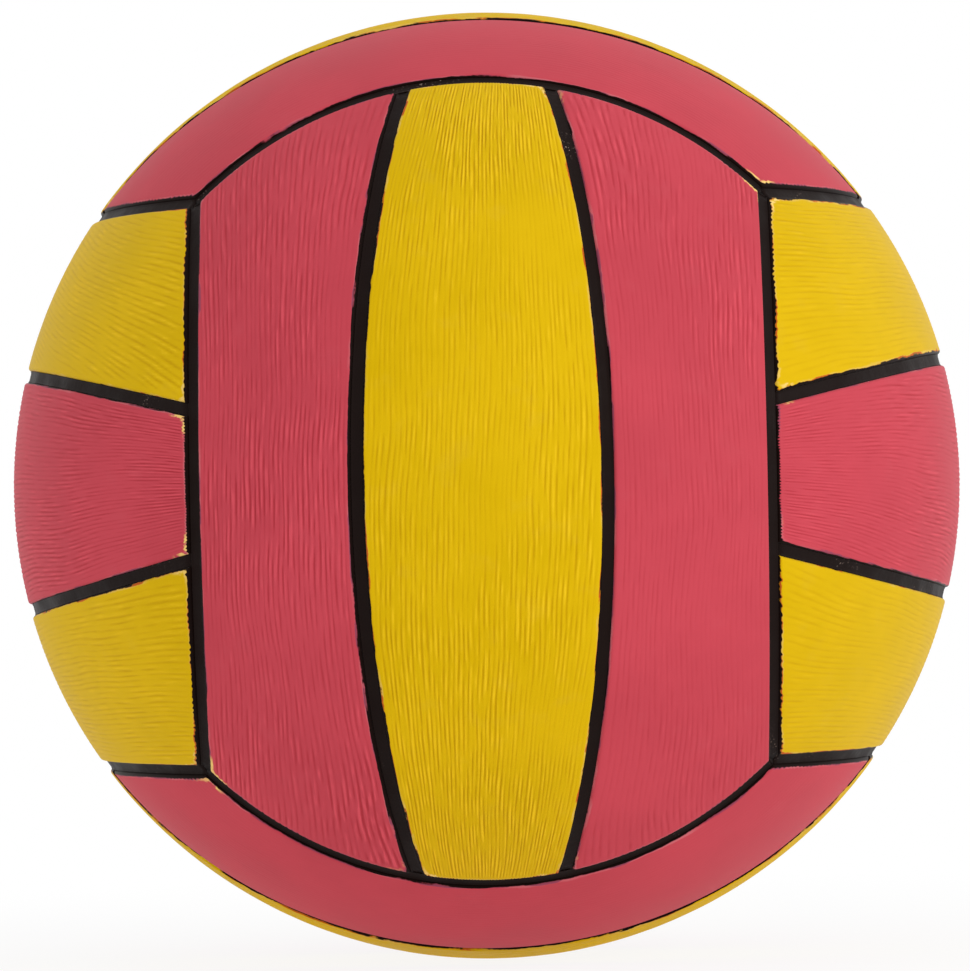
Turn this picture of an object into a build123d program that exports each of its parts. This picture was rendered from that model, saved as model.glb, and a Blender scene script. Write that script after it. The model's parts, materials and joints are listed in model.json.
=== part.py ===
from build123d import *
import math
import os

# Water polo ball of wound and moulded rubber, in the size that men's teams play with.
# From the inside out it is an air bladder with a needle valve, a thread winding, a rubber
# carcass, and a cover of eighteen rubber panels with a black rubber strip in each channel
# between them.
# Frame: the origin is the ball's centre, +Z is up, -Y is the front and the valve is at +Y.
# All lengths are in millimetres and all angles in degrees.

# Ball and its layers
ball_diameter = 220.0
cover_thickness = 1.2
carcass_thickness = 0.45
winding_thickness = 0.35
bladder_thickness = 0.7
bond_gap = 0.05  # cement line between two pieces that are bonded together

# Panels, and the strips in the channels between them
channel_width = 2.8
strip_thickness = 0.5
strip_dish = 0.15  # how far a strip is hollowed along its middle
strip_lip = 0.6  # width of the slope from each edge of a strip down to its hollow
panel_edge_radius = 0.8
middle_panel_angle = 28.7  # width of the middle panel of a face, seen from the ball's centre

# Needle valve
needle_hole_diameter = 1.8
needle_hole_depth = 6.0
needle_lead_in = 0.6
slit_width = 2.6
slit_gap = 0.2
plug_wall = 1.7  # rubber around the needle hole
plug_head_overhang = 1.2
plug_head_height = 1.4
plug_stem_length = 13.6
plug_nose_taper = 0.8
plug_nose_length = 3.0
plug_clearance = 0.05
housing_wall = 1.3
housing_tail = 1.0  # length of the housing beyond the nose of the plug
valve_recess = 0.3  # how far the mouth of the valve lies under the cover's surface
flange_overhang = 9.8
flange_thickness = 0.9
flange_edge_radius = 0.35

# Radii of the layers, from the outside in
cover_radius = ball_diameter / 2
cover_seat = cover_radius - cover_thickness
strip_radius = cover_seat + strip_thickness
carcass_radius = cover_seat - bond_gap
winding_radius = carcass_radius - carcass_thickness - bond_gap
bladder_radius = winding_radius - winding_thickness - bond_gap
flange_seat = bladder_radius - bladder_thickness - bond_gap

# The panels follow a cube: three channels meet on the line from the centre to each corner
corner_angle = math.degrees(math.acos(1 / math.sqrt(3)))
channel_wall_angle = math.degrees(channel_width / 2 / cover_radius)
great_circle_angle = 90
strip_half_width = channel_width / 2 - bond_gap
hollow_half_width = strip_half_width - strip_lip
hollow_radius = strip_radius - strip_dish

# Radii of the valve, from its axis out, and its heights from the ball's centre
needle_hole_radius = needle_hole_diameter / 2
stem_radius = needle_hole_radius + plug_wall
nose_radius = stem_radius - plug_nose_taper
head_radius = stem_radius + plug_head_overhang
housing_radius = head_radius + plug_clearance + housing_wall
valve_hole_radius = housing_radius + bond_gap
flange_rim_radius = housing_radius + flange_overhang
valve_mouth = cover_radius - valve_recess
head_seat = valve_mouth - plug_head_height
nose_end = head_seat - plug_stem_length
housing_end = nose_end - housing_tail

centre = (0, 0, 0)
front = (0, -1, 0)
back = (0, 1, 0)


def ball(radius):
    """A solid ball with its poles on the Z axis, clear of the front and the back."""
    return Solid.make_sphere(radius, angle1=-90, angle2=90)


def layer(outer, thickness):
    """A whole spherical layer of the ball."""
    return ball(outer) - ball(outer - thickness)


def cone(axis, half_angle):
    """A solid cone with its point at the ball's centre, opening along an axis square to Z."""
    reach = ball_diameter
    sideways = Vector(axis).cross(Vector(0, 0, 1))
    plane = Plane(origin=centre, x_dir=sideways, z_dir=axis)
    return Solid.make_cone(0, reach * math.tan(math.radians(half_angle)), reach, plane)


def valve_cylinder(radius, start=0, stop=ball_diameter):
    """A cylinder on the valve's axis between two heights from the ball's centre."""
    return Solid.make_cylinder(radius, stop - start, Plane(origin=(0, start, 0), z_dir=back))


def beyond(shape, normal, distance):
    """What is left of the shape beyond a plane at that distance from the ball's centre."""
    plane = Plane(origin=Vector(normal).normalized() * distance, z_dir=normal)
    return split(shape, plane, keep=Keep.TOP)


def face_channel(side):
    """The direction square to the front face's channel on that side, which is -1 or 1 in X."""
    half = math.radians(middle_panel_angle / 2)
    return Vector(side * math.cos(half), math.sin(half), 0)


def rounded_rim(panel):
    """The panel with the rim of its outer face rounded."""
    skin = max(panel.faces().filter_by(GeomType.SPHERE), key=lambda face: face.radius)
    return panel.fillet(panel_edge_radius, skin.edges())


def front_cover():
    """The cover in front, up to the two channels that close the ends of its three panels."""
    return layer(cover_radius, cover_thickness) & cone(front, corner_angle - channel_wall_angle)


def middle_panel():
    """The middle panel of the front face, between two channels on great circles."""
    panel = front_cover()
    for side in (-1, 1):
        panel = beyond(panel, -face_channel(side), channel_width / 2)
    return rounded_rim(panel.solid())


def side_panel(side):
    """The panel on one side of the front face."""
    panel = beyond(front_cover(), face_channel(side), channel_width / 2)
    panel = panel - cone((side, 0, 0), corner_angle + channel_wall_angle)
    return rounded_rim(panel.solid())


def with_valve_hole(panel):
    """The back's middle panel with a hole for the valve housing, rounded like the panel's rim."""
    panel = (panel - valve_cylinder(valve_hole_radius)).solid()
    outer_edge = panel.edges().filter_by(GeomType.CIRCLE).sort_by(Axis.Y)[-1]
    return panel.fillet(panel_edge_radius, [outer_edge])


def strip_ring(axis, opening):
    """A closed ring of channel strip around an axis, hollowed on top, at that angle from it."""
    def at(radius, offset):
        angle = math.radians(opening) + offset / cover_radius
        return (radius * math.cos(angle), radius * math.sin(angle))

    section = Polyline(
        at(cover_seat, -strip_half_width),
        at(cover_seat, strip_half_width),
        at(strip_radius, strip_half_width),
        at(hollow_radius, hollow_half_width),
        at(hollow_radius, -hollow_half_width),
        at(strip_radius, -strip_half_width),
        close=True,
    )
    across = Vector(axis).cross(Vector(back))
    plane = Plane(origin=centre, x_dir=axis, z_dir=across)
    return revolve(plane * make_face(section), Axis(centre, axis))


def face_seam(side):
    """The strip between the middle panel and a side panel of the front face."""
    ring = strip_ring(face_channel(side), great_circle_angle)
    return (ring & cone(front, corner_angle - channel_wall_angle)).solid()


def edge_seam(side):
    """The strip along one side of the front face, with a point at each end where three meet."""
    strip = strip_ring((side, 0, 0), corner_angle)
    for end in (-1, 1):
        own_run = Vector(0, -1, -end)
        for other_run in (Vector(-side, 0, end), Vector(side, 1, 0)):
            strip = beyond(strip, own_run - other_run, bond_gap / 2)
    return strip.solid()


def layer_under_cover(outer, thickness):
    """A spherical layer with a round hole for the valve housing."""
    return (layer(outer, thickness) - valve_cylinder(valve_hole_radius)).solid()


def valve_housing():
    """The tube that holds the plug, with a flange that is bonded inside the bladder."""
    flange = layer(flange_seat, flange_thickness) & valve_cylinder(flange_rim_radius)
    flange = flange.solid()
    inner_rim = flange.edges().filter_by(GeomType.CIRCLE).sort_by(Axis.Y)[0]
    flange = flange.fillet(flange_edge_radius, [inner_rim])
    body = flange + (ball(valve_mouth) & valve_cylinder(housing_radius, housing_end))
    body = body - valve_cylinder(head_radius + plug_clearance, head_seat - plug_clearance)
    return (body - valve_cylinder(stem_radius + plug_clearance)).solid()


def valve_plug():
    """The self-sealing plug: a headed stem with a needle hole that ends in a closed slit."""
    hole_end = valve_mouth - needle_hole_depth
    profile = Polyline(
        (0, nose_end),
        (nose_radius, nose_end),
        (stem_radius, nose_end + plug_nose_length),
        (stem_radius, head_seat),
        (head_radius, head_seat),
        (head_radius, valve_mouth),
        (needle_hole_radius + needle_lead_in, valve_mouth),
        (needle_hole_radius, valve_mouth - needle_lead_in),
        (needle_hole_radius, hole_end),
        (0, hole_end),
        close=True,
    )
    body = revolve(make_face(profile), Axis.Y) & ball(valve_mouth)
    slit = Pos(0, (hole_end + nose_end) / 2, 0) * Box(slit_width, hole_end - nose_end, slit_gap)
    return (body - slit).solid()


def half_turn(shape):
    """The shape carried from the front to the back, half a turn about the Z axis."""
    return shape.rotate(Axis.Z, 180)


def third_turn(shape):
    """The shape carried to the next pair of faces, a third of a turn about a cube diagonal."""
    return shape.rotate(Axis(centre, (1, 1, 1)), -120)


# Each face of the cube, what lies beside it where the front face has -X and +X, and the
# turns that carry the front face there
faces = [
    ("front", ("left", "right"), []),
    ("back", ("right", "left"), [half_turn]),
    ("left", ("bottom", "top"), [third_turn]),
    ("right", ("top", "bottom"), [half_turn, third_turn]),
    ("bottom", ("front", "back"), [third_turn, third_turn]),
    ("top", ("back", "front"), [half_turn, third_turn, third_turn]),
]


def cover_pieces():
    """Every panel and strip of the cover by name, made at the front and carried to each face."""
    middle = middle_panel()
    by_side = [(side_panel(side), face_seam(side), edge_seam(side)) for side in (-1, 1)]
    pieces = {}
    for face, sides, turns in faces:
        made = {f"panel_{face}_middle": middle}
        for side_name, (panel, inner_strip, outer_strip) in zip(sides, by_side):
            made[f"panel_{face}_{side_name}"] = panel
            made[f"face_seam_{face}_{side_name}"] = inner_strip
            made[f"edge_seam_{face}_{side_name}"] = outer_strip
        for name, shape in made.items():
            for turn in turns:
                shape = turn(shape)
            pieces[name] = shape
    pieces["panel_back_middle"] = with_valve_hole(pieces["panel_back_middle"])
    return pieces


def inner_pieces():
    """The layers under the cover and the two pieces of the valve, by name."""
    return {
        "carcass": layer_under_cover(carcass_radius, carcass_thickness),
        "thread_winding": layer_under_cover(winding_radius, winding_thickness),
        "bladder": layer_under_cover(bladder_radius, bladder_thickness),
        "valve_housing": valve_housing(),
        "valve_plug": valve_plug(),
    }


os.makedirs("parts", exist_ok=True)
for node, piece in {**cover_pieces(), **inner_pieces()}.items():
    export_step(piece, f"parts/{node}.step")
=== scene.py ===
import json
import math

import bpy
import numpy as np
from bpy.props import FloatProperty, FloatVectorProperty, IntProperty, PointerProperty
from mathutils import Color, Euler, Matrix, Vector


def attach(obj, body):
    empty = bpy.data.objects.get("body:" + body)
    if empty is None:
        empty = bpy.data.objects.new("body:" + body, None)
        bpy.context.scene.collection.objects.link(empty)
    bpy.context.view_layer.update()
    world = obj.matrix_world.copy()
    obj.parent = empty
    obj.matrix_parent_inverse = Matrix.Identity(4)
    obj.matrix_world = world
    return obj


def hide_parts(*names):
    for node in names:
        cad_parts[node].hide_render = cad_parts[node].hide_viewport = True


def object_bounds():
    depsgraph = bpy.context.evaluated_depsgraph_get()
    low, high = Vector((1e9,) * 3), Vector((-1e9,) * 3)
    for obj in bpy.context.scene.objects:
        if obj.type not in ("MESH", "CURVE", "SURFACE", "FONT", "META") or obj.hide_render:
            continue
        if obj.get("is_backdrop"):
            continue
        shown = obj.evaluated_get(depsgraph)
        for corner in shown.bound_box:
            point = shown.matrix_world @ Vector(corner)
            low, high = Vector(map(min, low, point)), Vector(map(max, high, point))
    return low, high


bl_info = {
    "name": "Water Polo Ball",
    "version": (1, 0, 0),
    "blender": (4, 5, 0),
    "location": "View3D > Sidebar > Water Polo Ball",
    "description": "Dresses the water polo ball in ridged grip panels, painted strips and rubber finishes",
    "category": "Object",
}

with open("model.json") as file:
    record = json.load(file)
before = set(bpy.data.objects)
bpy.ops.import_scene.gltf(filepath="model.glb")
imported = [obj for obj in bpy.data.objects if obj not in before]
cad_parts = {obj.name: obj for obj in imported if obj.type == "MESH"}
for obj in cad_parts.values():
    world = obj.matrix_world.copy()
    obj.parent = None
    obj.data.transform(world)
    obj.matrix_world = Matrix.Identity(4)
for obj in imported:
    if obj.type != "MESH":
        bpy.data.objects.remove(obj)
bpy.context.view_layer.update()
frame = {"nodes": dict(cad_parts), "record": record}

slot_of_node = {part["node"]: part["material_slot"] for part in frame["record"]["subparts"]}
place_of_mount = {mount["name"]: mount["pos_m"] for mount in frame["record"]["mounts"]}

# The panels follow a cube: three channels meet on the line from the centre to each corner.
CORNER_ANGLE = math.acos(1 / math.sqrt(3))

# Turns that carry the front face of the cube to the back, and on to the next pair of faces.
HALF_TURN = np.diag((-1.0, -1.0, 1.0))
THIRD_TURN = np.array(((0.0, 1.0, 0.0), (0.0, 0.0, 1.0), (1.0, 0.0, 0.0)))

# Each face, what lies beside it where the front face has -X and +X, and the turn that carries
# the front face there.
FACES = (
    ("front", ("left", "right"), np.eye(3)),
    ("back", ("right", "left"), HALF_TURN),
    ("left", ("bottom", "top"), THIRD_TURN),
    ("right", ("top", "bottom"), THIRD_TURN @ HALF_TURN),
    ("bottom", ("front", "back"), THIRD_TURN @ THIRD_TURN),
    ("top", ("back", "front"), THIRD_TURN @ THIRD_TURN @ HALF_TURN),
)

# Five places along a panel, in metres above its middle, and the share of the ridges' height left at each.
# It is partly wear and partly painted light: the ridges, with the painted shade and highlight on them, are
# kept stronger where the light falls across them and weaker where it falls straight on.
WEAR_AND_LIGHT_STATIONS = (-0.085, -0.045, 0.0, 0.045, 0.085)
LEFT_ELSEWHERE = (0.7,) * 5
LEFT_BY_WEAR_AND_LIGHT = {
    "panel_front_left": (1.5, 0.52, 0.95, 0.68, 0.58),
    "panel_front_middle": (0.92, 0.74, 0.6, 0.54, 1.1),
    "panel_front_right": (0.52, 0.31, 0.42, 0.75, 0.78),
    "panel_left_bottom": (0.52, 0.46, 0.46, 0.46, 0.46),
    "panel_left_middle": (0.85, 0.81, 0.75, 0.75, 0.75),
    "panel_left_top": (0.58, 0.44, 0.36, 0.36, 0.36),
    "panel_right_top": (0.45, 0.35, 0.25, 0.22, 0.22),
    "panel_right_middle": (0.65, 0.72, 0.8, 0.75, 0.7),
    "panel_right_bottom": (0.34, 0.37, 0.4, 0.4, 0.4),
    "panel_bottom_front": (0.12,) * 5,
    "panel_top_front": (0.12,) * 5,
}

# How far the ridges of a panel lean over its length, as steps across for each step along.
RIDGE_LEANS = {
    "panel_front_middle": -0.04,
    "panel_left_top": -0.2,
    "panel_right_middle": -0.06,
    "panel_right_bottom": -0.06,
}

# How far the hand-painted black laps onto a panel, as shares of the usual lap: at the walls that
# the front face has at -X and +X, below and above.
LAPS_ELSEWHERE = (0.8, 0.7, 1.2, 1.2)
PAINT_LAPS = {
    "panel_front_left": (1.8, 1.65, 1.4, 1.2),
    "panel_front_middle": (1.5, 0.5, 1.4, 1.2),
    "panel_front_right": (0.0, -0.5, 1.4, 1.2),
    "panel_left_bottom": (0.3, 0.65, 2.3, 1.0),
    "panel_left_middle": (-0.3, 0.5, 2.3, 1.0),
    "panel_left_top": (-0.5, 0.5, 2.3, 1.0),
    "panel_right_top": (2.2, 1.7, 1.2, 1.0),
    "panel_right_middle": (-0.7, 1.1, 1.2, 1.0),
    "panel_right_bottom": (-0.5, 1.3, 1.2, 1.0),
    "panel_bottom_front": (0.75, -0.4, 2.4, 2.2),
    "panel_bottom_middle": (0.7, 0.7, 1.2, 1.2),
    "panel_top_front": (-0.4, 0.6, 1.7, 2.6),
    "panel_top_middle": (0.8, 1.0, 1.2, 1.2),
}

# The laps of two walls blend over this distance, and the power rounds the paint at a panel's corners.
LAP_BLEND = 0.0006
CORNER_POWER = 4

# Mesh of the panels: arcs over a rounded rim, rounds that settle the grid between its walls, and the
# width of the coarse faces underneath.
RIM_ARCS = 5
SETTLING_ROUNDS = 40
UNDERSIDE_CELL = 0.0065

# Block of the grid that is drawn in to the valve's hole, and the rings that blend it with the rest.
VALVE_BLOCK_ROWS = 12
VALVE_BLOCK_COLUMNS = 28
VALVE_BLEND_RINGS = 24

# Mesh of the strips: points over a lip or the hollow, and the search for an edge seam's mitred end.
STRIP_POINTS = 6
SHORTEST_HALF_SEAM = math.radians(30)
LONGEST_HALF_SEAM = math.radians(50)
BISECTIONS = 40

# What the ridges' node tree takes for each panel.
RIDGE_SIZES = ("Pitch", "Height", "Wander", "Wander length", "Sliver length", "Rim fade")
LEFT_PLACES = ("Left far below", "Left below", "Left in middle", "Left above", "Left far above")

# Depths of the ridges' layers in the noise, far enough apart that no two are alike.
STRAY_DEPTH = 0.37
SLIP_DEPTH = 5.21
SHAKE_DEPTH = 7.94
BREAK_DEPTH = 9.83
PATCH_DEPTH = 13.49
GRAIN_DEPTH = 17.3

# Sizes of those layers and how far they reach, in pitches, or in slivers where the name says so.
SLIP_WIDTH = 2.2
SLIP_SLIVERS = 3.0
SLIP_REACH = 0.4
SHAKE_WIDTH = 4.0
SHAKE_LENGTH = 4.5
SHAKE_REACH = 0.08
BREAK_WIDTH = 1.4
GRAIN_WIDTH = 0.55
GRAIN_SLIVERS = 0.6

# Worn patches in metres.
PATCH_WIDTH = 0.02
PATCH_LENGTH = 0.035

# Profile of a ridge and the grooves beside it, as shares of its half height.
GROOVE_POWER = 2.6
GROOVE_DEPTH = 1.5
RIDGE_TOP = 0.5
GRAIN_SHARE = 0.4

# Soft steps on the ridges: the start and stop of each, and the values there.
BREAK_STEP = (-0.42, 0.22, 0.15, 1.0)
PATCH_STEP = (-0.5, 0.15, 0.3, 1.0)
RIM_STEP = (0.0003, 0.0024)

NODE_SPACING = 220


def linear(red, green, blue):
    """A colour on a 0 to 255 screen scale as scene linear values."""
    return tuple(Color((red / 255, green / 255, blue / 255)).from_srgb_to_scene_linear())


def length_property(name, description, default):
    """A size in metres."""
    return FloatProperty(name=name, description=description, default=default, precision=5, unit="LENGTH")


def colour_property(name, description, default):
    """A colour that the user can pick."""
    return FloatVectorProperty(
        name=name, description=description, default=default, size=3, min=0, max=1, subtype="COLOR"
    )


class CoverSizes(bpy.types.PropertyGroup):
    """Sizes of the panels and of the strips in the channels between them."""

    ball_radius: length_property(
        "Ball radius", "From the centre to the panels' outer surface", -place_of_mount["ball_seat"][2]
    )
    cover_thickness: length_property("Cover thickness", "From the carcass to the outer surface", 0.0012)
    channel_width: length_property("Channel width", "Between the walls of two panels", 0.0028)
    middle_panel_angle: FloatProperty(
        name="Middle panel angle",
        description="Width of the middle panel of a face, seen from the ball's centre",
        default=math.radians(28.7),
        subtype="ANGLE",
    )
    edge_radius: length_property("Panel edge radius", "Rounding of the panels' outer rim", 0.0008)
    bond_gap: length_property("Bond gap", "Cement line between a strip and its channel", 0.00005)
    strip_thickness: length_property("Strip thickness", "Thickness of a strip at its edges", 0.0005)
    strip_dish: length_property("Strip dish", "How far a strip is hollowed along its middle", 0.00015)
    strip_lip: length_property("Strip lip", "Width of the slope from a strip's edge to its hollow", 0.0006)
    valve_hole_radius: length_property("Valve hole radius", "Hole for the valve in the back panel", 0.0052)
    valve_ring: length_property("Valve ring", "Width of the smooth ring around the valve", 0.006)
    cell_width: length_property("Cell width", "Mesh cells across a panel", 0.00017)
    cell_length: length_property("Cell length", "Mesh cells along a panel", 0.0014)
    strip_cell: length_property("Strip cell", "Mesh cells along a strip", 0.002)


class GripSizes(bpy.types.PropertyGroup):
    """The broken ridges that are moulded into the panels for grip."""

    pitch: length_property("Pitch", "From one ridge to the next", 0.00116)
    height: length_property("Height", "From the valleys to the tops of the ridges", 0.00026)
    wander: length_property("Wander", "How far a ridge strays sideways", 0.0025)
    wander_length: length_property("Wander length", "Length over which a ridge strays", 0.045)
    sliver_length: length_property("Sliver length", "Length of one unbroken piece of a ridge", 0.0078)
    rim_fade: length_property("Rim fade", "Smooth border at the rim of a panel", 0.0008)
    seed: IntProperty(name="Seed", description="Start of the random pattern", default=3)


class PaintFinish(bpy.types.PropertyGroup):
    """Colours of the rubber and the black paint that laps onto the panels' rims."""

    yellow: colour_property("Yellow", "Rubber of the yellow panels", linear(224, 183, 2))
    coral: colour_property("Coral", "Rubber of the coral panels", linear(203, 72, 85))
    black: colour_property("Black", "Strips and the paint on the panels' rims", linear(23, 11, 8))
    dust: colour_property("Dust", "Dry dust on the black strips", linear(150, 130, 120))
    yellow_fringe: colour_property("Yellow's fringe", "Stain on yellow beside the paint", linear(196, 92, 30))
    coral_fringe: colour_property("Coral's fringe", "Stain on coral beside the paint", linear(150, 70, 92))
    fleck: colour_property("Fleck", "Pale bare flecks at the panels' corners", linear(246, 208, 120))
    lap: length_property("Lap", "How far the black paint usually reaches onto a panel", 0.0003)
    wobble: length_property("Wobble", "How far the edge of the paint strays", 0.00025)
    tooth: length_property("Tooth", "How far the paint runs into the valleys between ridges", 0.0002)
    fringe: length_property("Fringe", "Width of the stain beside the paint", 0.0003)


class StageSetup(bpy.types.PropertyGroup):
    """Camera, lamps and floor."""

    camera_distance: length_property("Camera distance", "From the ball's centre", 1.3805)
    camera_turn: FloatVectorProperty(
        name="Camera turn",
        description="Turn of the camera about the ball from straight in front",
        default=(0.0158, 0.0189, 0.0091),
        size=3,
        subtype="EULER",
    )
    camera_offset: length_property("Camera offset", "Sideways step of the camera", -0.0004)
    lens: FloatProperty(name="Lens", description="Focal length in millimetres", default=219.3, min=1)
    key_power: FloatProperty(name="Key lamp", description="Watts of the soft lamp", default=9.0, min=0)
    sky_strength: FloatProperty(name="Sky", description="Even light from all around", default=0.82, min=0)
    floor_size: length_property("Floor size", "Side of the square floor", 12.0)


class NodeWriter:
    """Adds nodes to one tree, each with its inputs linked or set."""

    def __init__(self, tree):
        self.tree = tree

    def node(self, kind, inputs=(), **settings):
        made = self.tree.nodes.new(kind)
        made.location.x = NODE_SPACING * len(self.tree.nodes)
        for name, value in settings.items():
            setattr(made, name, value)
        for key, value in dict(inputs).items():
            self.feed(made.inputs[key], value)
        return made

    def feed(self, socket, value):
        if isinstance(value, bpy.types.NodeSocket):
            self.tree.links.new(value, socket)
        else:
            socket.default_value = value

    def math(self, operation, *values):
        return self.node("ShaderNodeMath", enumerate(values), operation=operation).outputs[0]

    def chain(self, operation, so_far, *values):
        for value in values:
            so_far = self.math(operation, so_far, value)
        return so_far

    def total(self, *values):
        return self.chain("ADD", *values)

    def product(self, *values):
        return self.chain("MULTIPLY", *values)

    def largest(self, *values):
        return self.chain("MAXIMUM", *values)

    def ramp(self, value, start, stop, low=0.0, high=1.0):
        inputs = {"Value": value, "From Min": start, "From Max": stop, "To Min": low, "To Max": high}
        return self.node("ShaderNodeMapRange", inputs, interpolation_type="SMOOTHSTEP").outputs[0]

    def vector(self, x, y, z):
        return self.node("ShaderNodeCombineXYZ", enumerate((x, y, z))).outputs[0]

    def noise(self, place, scale=1.0, detail=1.0):
        inputs = {"Vector": place, "Scale": scale, "Detail": detail}
        return self.node("ShaderNodeTexNoise", inputs).outputs[0]

    def swing(self, place, scale=1.0, detail=1.0):
        """Noise between about -1 and 1."""
        return self.math("MULTIPLY_ADD", self.noise(place, scale, detail), 2.0, -1.0)

    def cloud(self, place, scale, detail, start, stop):
        """Noise as a soft mask: 0 up to the start and 1 from the stop."""
        return self.ramp(self.noise(place, scale, detail), start, stop)

    def mix_colour(self, share, first, second):
        inputs = {0: share, 6: first, 7: second}
        return self.node("ShaderNodeMix", inputs, data_type="RGBA").outputs[2]


def opaque(colour):
    """A colour with full alpha, as a colour socket takes it."""
    return (*colour, 1.0)


def channel_half_angle(cover):
    """Half the width of a channel, seen from the ball's centre."""
    return cover.channel_width / 2 / cover.ball_radius


def eased(share):
    """A share from 0 to 1 that starts and stops gently."""
    return share * share * (3 - 2 * share)


# Cover panels


def rim_steps(edge_radius):
    """Distances from a panel's wall that follow its rounded rim in even arcs."""
    return edge_radius * (1 - np.cos(np.linspace(0, math.pi / 2, RIM_ARCS + 1)))


def stations(length, cell, edge_radius):
    """Shares of a length from 0 to 1, in even cells with closer ones over both rounded rims."""
    rim = rim_steps(edge_radius) / length
    cells = max(1, round((1 - 2 * rim[-1]) * length / cell))
    inner = np.linspace(rim[-1], 1 - rim[-1], cells + 1)
    return np.concatenate((rim[:-1], inner, 1 - rim[-2::-1]))


def side_limits(cover, place, latitude):
    """Longitudes of the two long walls of a front panel, which lies at -1, 0 or 1 in X."""
    half_channel = channel_half_angle(cover)
    half_middle = cover.middle_panel_angle / 2
    set_back = np.arcsin(half_channel / np.cos(latitude))
    if place == 0:
        return set_back - half_middle, half_middle - set_back
    inner = half_middle + set_back
    outer = np.arcsin(math.cos(CORNER_ANGLE + half_channel) / np.cos(latitude))
    return (inner, outer) if place > 0 else (-outer, -inner)


def end_latitude(cover, longitude):
    """Latitude of the upper wall of a front panel."""
    end = CORNER_ANGLE - channel_half_angle(cover)
    return np.arccos(math.cos(end) / np.cos(longitude))


def panel_width(cover, place):
    """Width of a front panel over the surface, at the middle of its length."""
    low, high = side_limits(cover, place, 0.0)
    return cover.ball_radius * (high - low)


def panel_grid(cover, place):
    """Directions from the ball's centre to the grid points of a front panel."""
    low, high = side_limits(cover, place, 0.0)
    middle = (low + high) / 2
    length = 2 * cover.ball_radius * end_latitude(cover, middle)
    across = stations(panel_width(cover, place), cover.cell_width, cover.edge_radius)
    along = 2 * stations(length, cover.cell_length, cover.edge_radius) - 1
    across, along = np.meshgrid(across, along)
    longitude = np.full_like(across, middle)
    latitude = np.zeros_like(along)
    for _ in range(SETTLING_ROUNDS):
        low, high = side_limits(cover, place, latitude)
        longitude = (longitude + low + (high - low) * across) / 2
        latitude = (latitude + end_latitude(cover, longitude) * along) / 2
    flat = np.cos(latitude)
    return np.stack((flat * np.sin(longitude), -flat * np.cos(longitude), np.sin(latitude)), axis=-1)


def from_middle(count, half):
    """Index steps from the middle of a row of points, and a half block size that falls on a point."""
    steps = np.arange(count) - (count - 1) / 2
    odd = (count - 1) / 2 % 1
    return steps, round(half - odd) + odd


def draw_in_around_valve(cover, directions):
    """The grid drawn in to a round hole in the panel's middle, and which of its points are left."""
    rows, columns = directions.shape[:2]
    row_steps, row_half = from_middle(rows, VALVE_BLOCK_ROWS)
    column_steps, column_half = from_middle(columns, VALVE_BLOCK_COLUMNS)
    column_steps, row_steps = np.meshgrid(column_steps, row_steps)
    ring = np.maximum(np.abs(row_steps) - row_half, np.abs(column_steps) - column_half)
    kept = ring > -0.5
    ring = np.maximum(ring, 0)
    right = column_steps / (column_half + ring)
    up = row_steps / (row_half + ring)
    eighth = math.pi / 4
    beside = np.where(right > 0, up * eighth, math.pi - up * eighth)
    above = np.where(up > 0, math.pi / 2 - right * eighth, right * eighth - math.pi / 2)
    angle = np.where(np.abs(right) >= np.abs(up), beside, above)
    past_rim = np.maximum(ring - RIM_ARCS, 0)
    rim = rim_steps(cover.edge_radius)[np.minimum(ring, RIM_ARCS).astype(int)]
    reach = cover.valve_hole_radius + rim + past_rim * cover.cell_width
    share = eased(np.clip(past_rim / VALVE_BLEND_RINGS, 0, 1))
    x = (1 - share) * reach * np.cos(angle) / cover.ball_radius + share * directions[..., 0]
    z = (1 - share) * reach * np.sin(angle) / cover.ball_radius + share * directions[..., 2]
    return np.stack((x, -np.sqrt(1 - x * x - z * z), z), axis=-1), kept


def wall_distances(cover, place, directions):
    """Distances over the surface to the walls of a front panel at -X, at +X, below and above."""
    half_channel = cover.channel_width / 2
    wall_angle = channel_half_angle(cover)
    half_middle = cover.middle_panel_angle / 2

    def past_channel(side):
        square = (side * math.cos(half_middle), math.sin(half_middle), 0)
        return cover.ball_radius * (directions @ square)

    if place == 0:
        sides = [-past_channel(side) - half_channel for side in (-1, 1)]
    else:
        from_side = np.arccos(np.clip(place * directions[..., 0], -1, 1))
        outer = cover.ball_radius * (from_side - CORNER_ANGLE - wall_angle)
        sides = [outer, past_channel(place) - half_channel][::-place]
    from_front = np.arccos(np.clip(-directions[..., 1], -1, 1))
    end = cover.ball_radius * (CORNER_ANGLE - wall_angle - from_front)
    past_middle = 2 * cover.ball_radius * directions[..., 2]
    below = end + np.maximum(past_middle, 0)
    above = end + np.maximum(-past_middle, 0)
    return np.maximum((*sides, below, above), 0)


def nearest_lap(walls, laps):
    """How far the paint laps at each point: mostly the lap of its nearest wall."""
    weight = (walls + LAP_BLEND) ** -CORNER_POWER
    return np.tensordot(laps, weight, 1) / weight.sum(axis=0)


def painted_rim(walls, rim):
    """Distance from the rim as the paint follows it, which rounds the panel's corners."""
    rounded = ((walls + LAP_BLEND) ** -CORNER_POWER).sum(axis=0) ** (-1 / CORNER_POWER) - LAP_BLEND
    return np.clip(rounded, 0, rim)


def strip_coordinates(cover, place, directions):
    """Distances across and along a front panel from its middle."""
    longitude = np.arctan2(directions[..., 0], -directions[..., 1])
    latitude = np.arcsin(directions[..., 2])
    low, high = side_limits(cover, place, latitude)
    across = ((longitude - low) / (high - low) - 0.5) * panel_width(cover, place)
    return across, cover.ball_radius * latitude


def outer_edges(quads):
    """The edges that only one of the quads has, in that quad's own direction."""
    edges = np.concatenate([quads[:, (corner, (corner + 1) % 4)] for corner in range(4)])
    size = quads.max() + 1
    forth = edges[:, 0] * size + edges[:, 1]
    back = edges[:, 1] * size + edges[:, 0]
    return edges[~np.isin(forth, back)]


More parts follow.
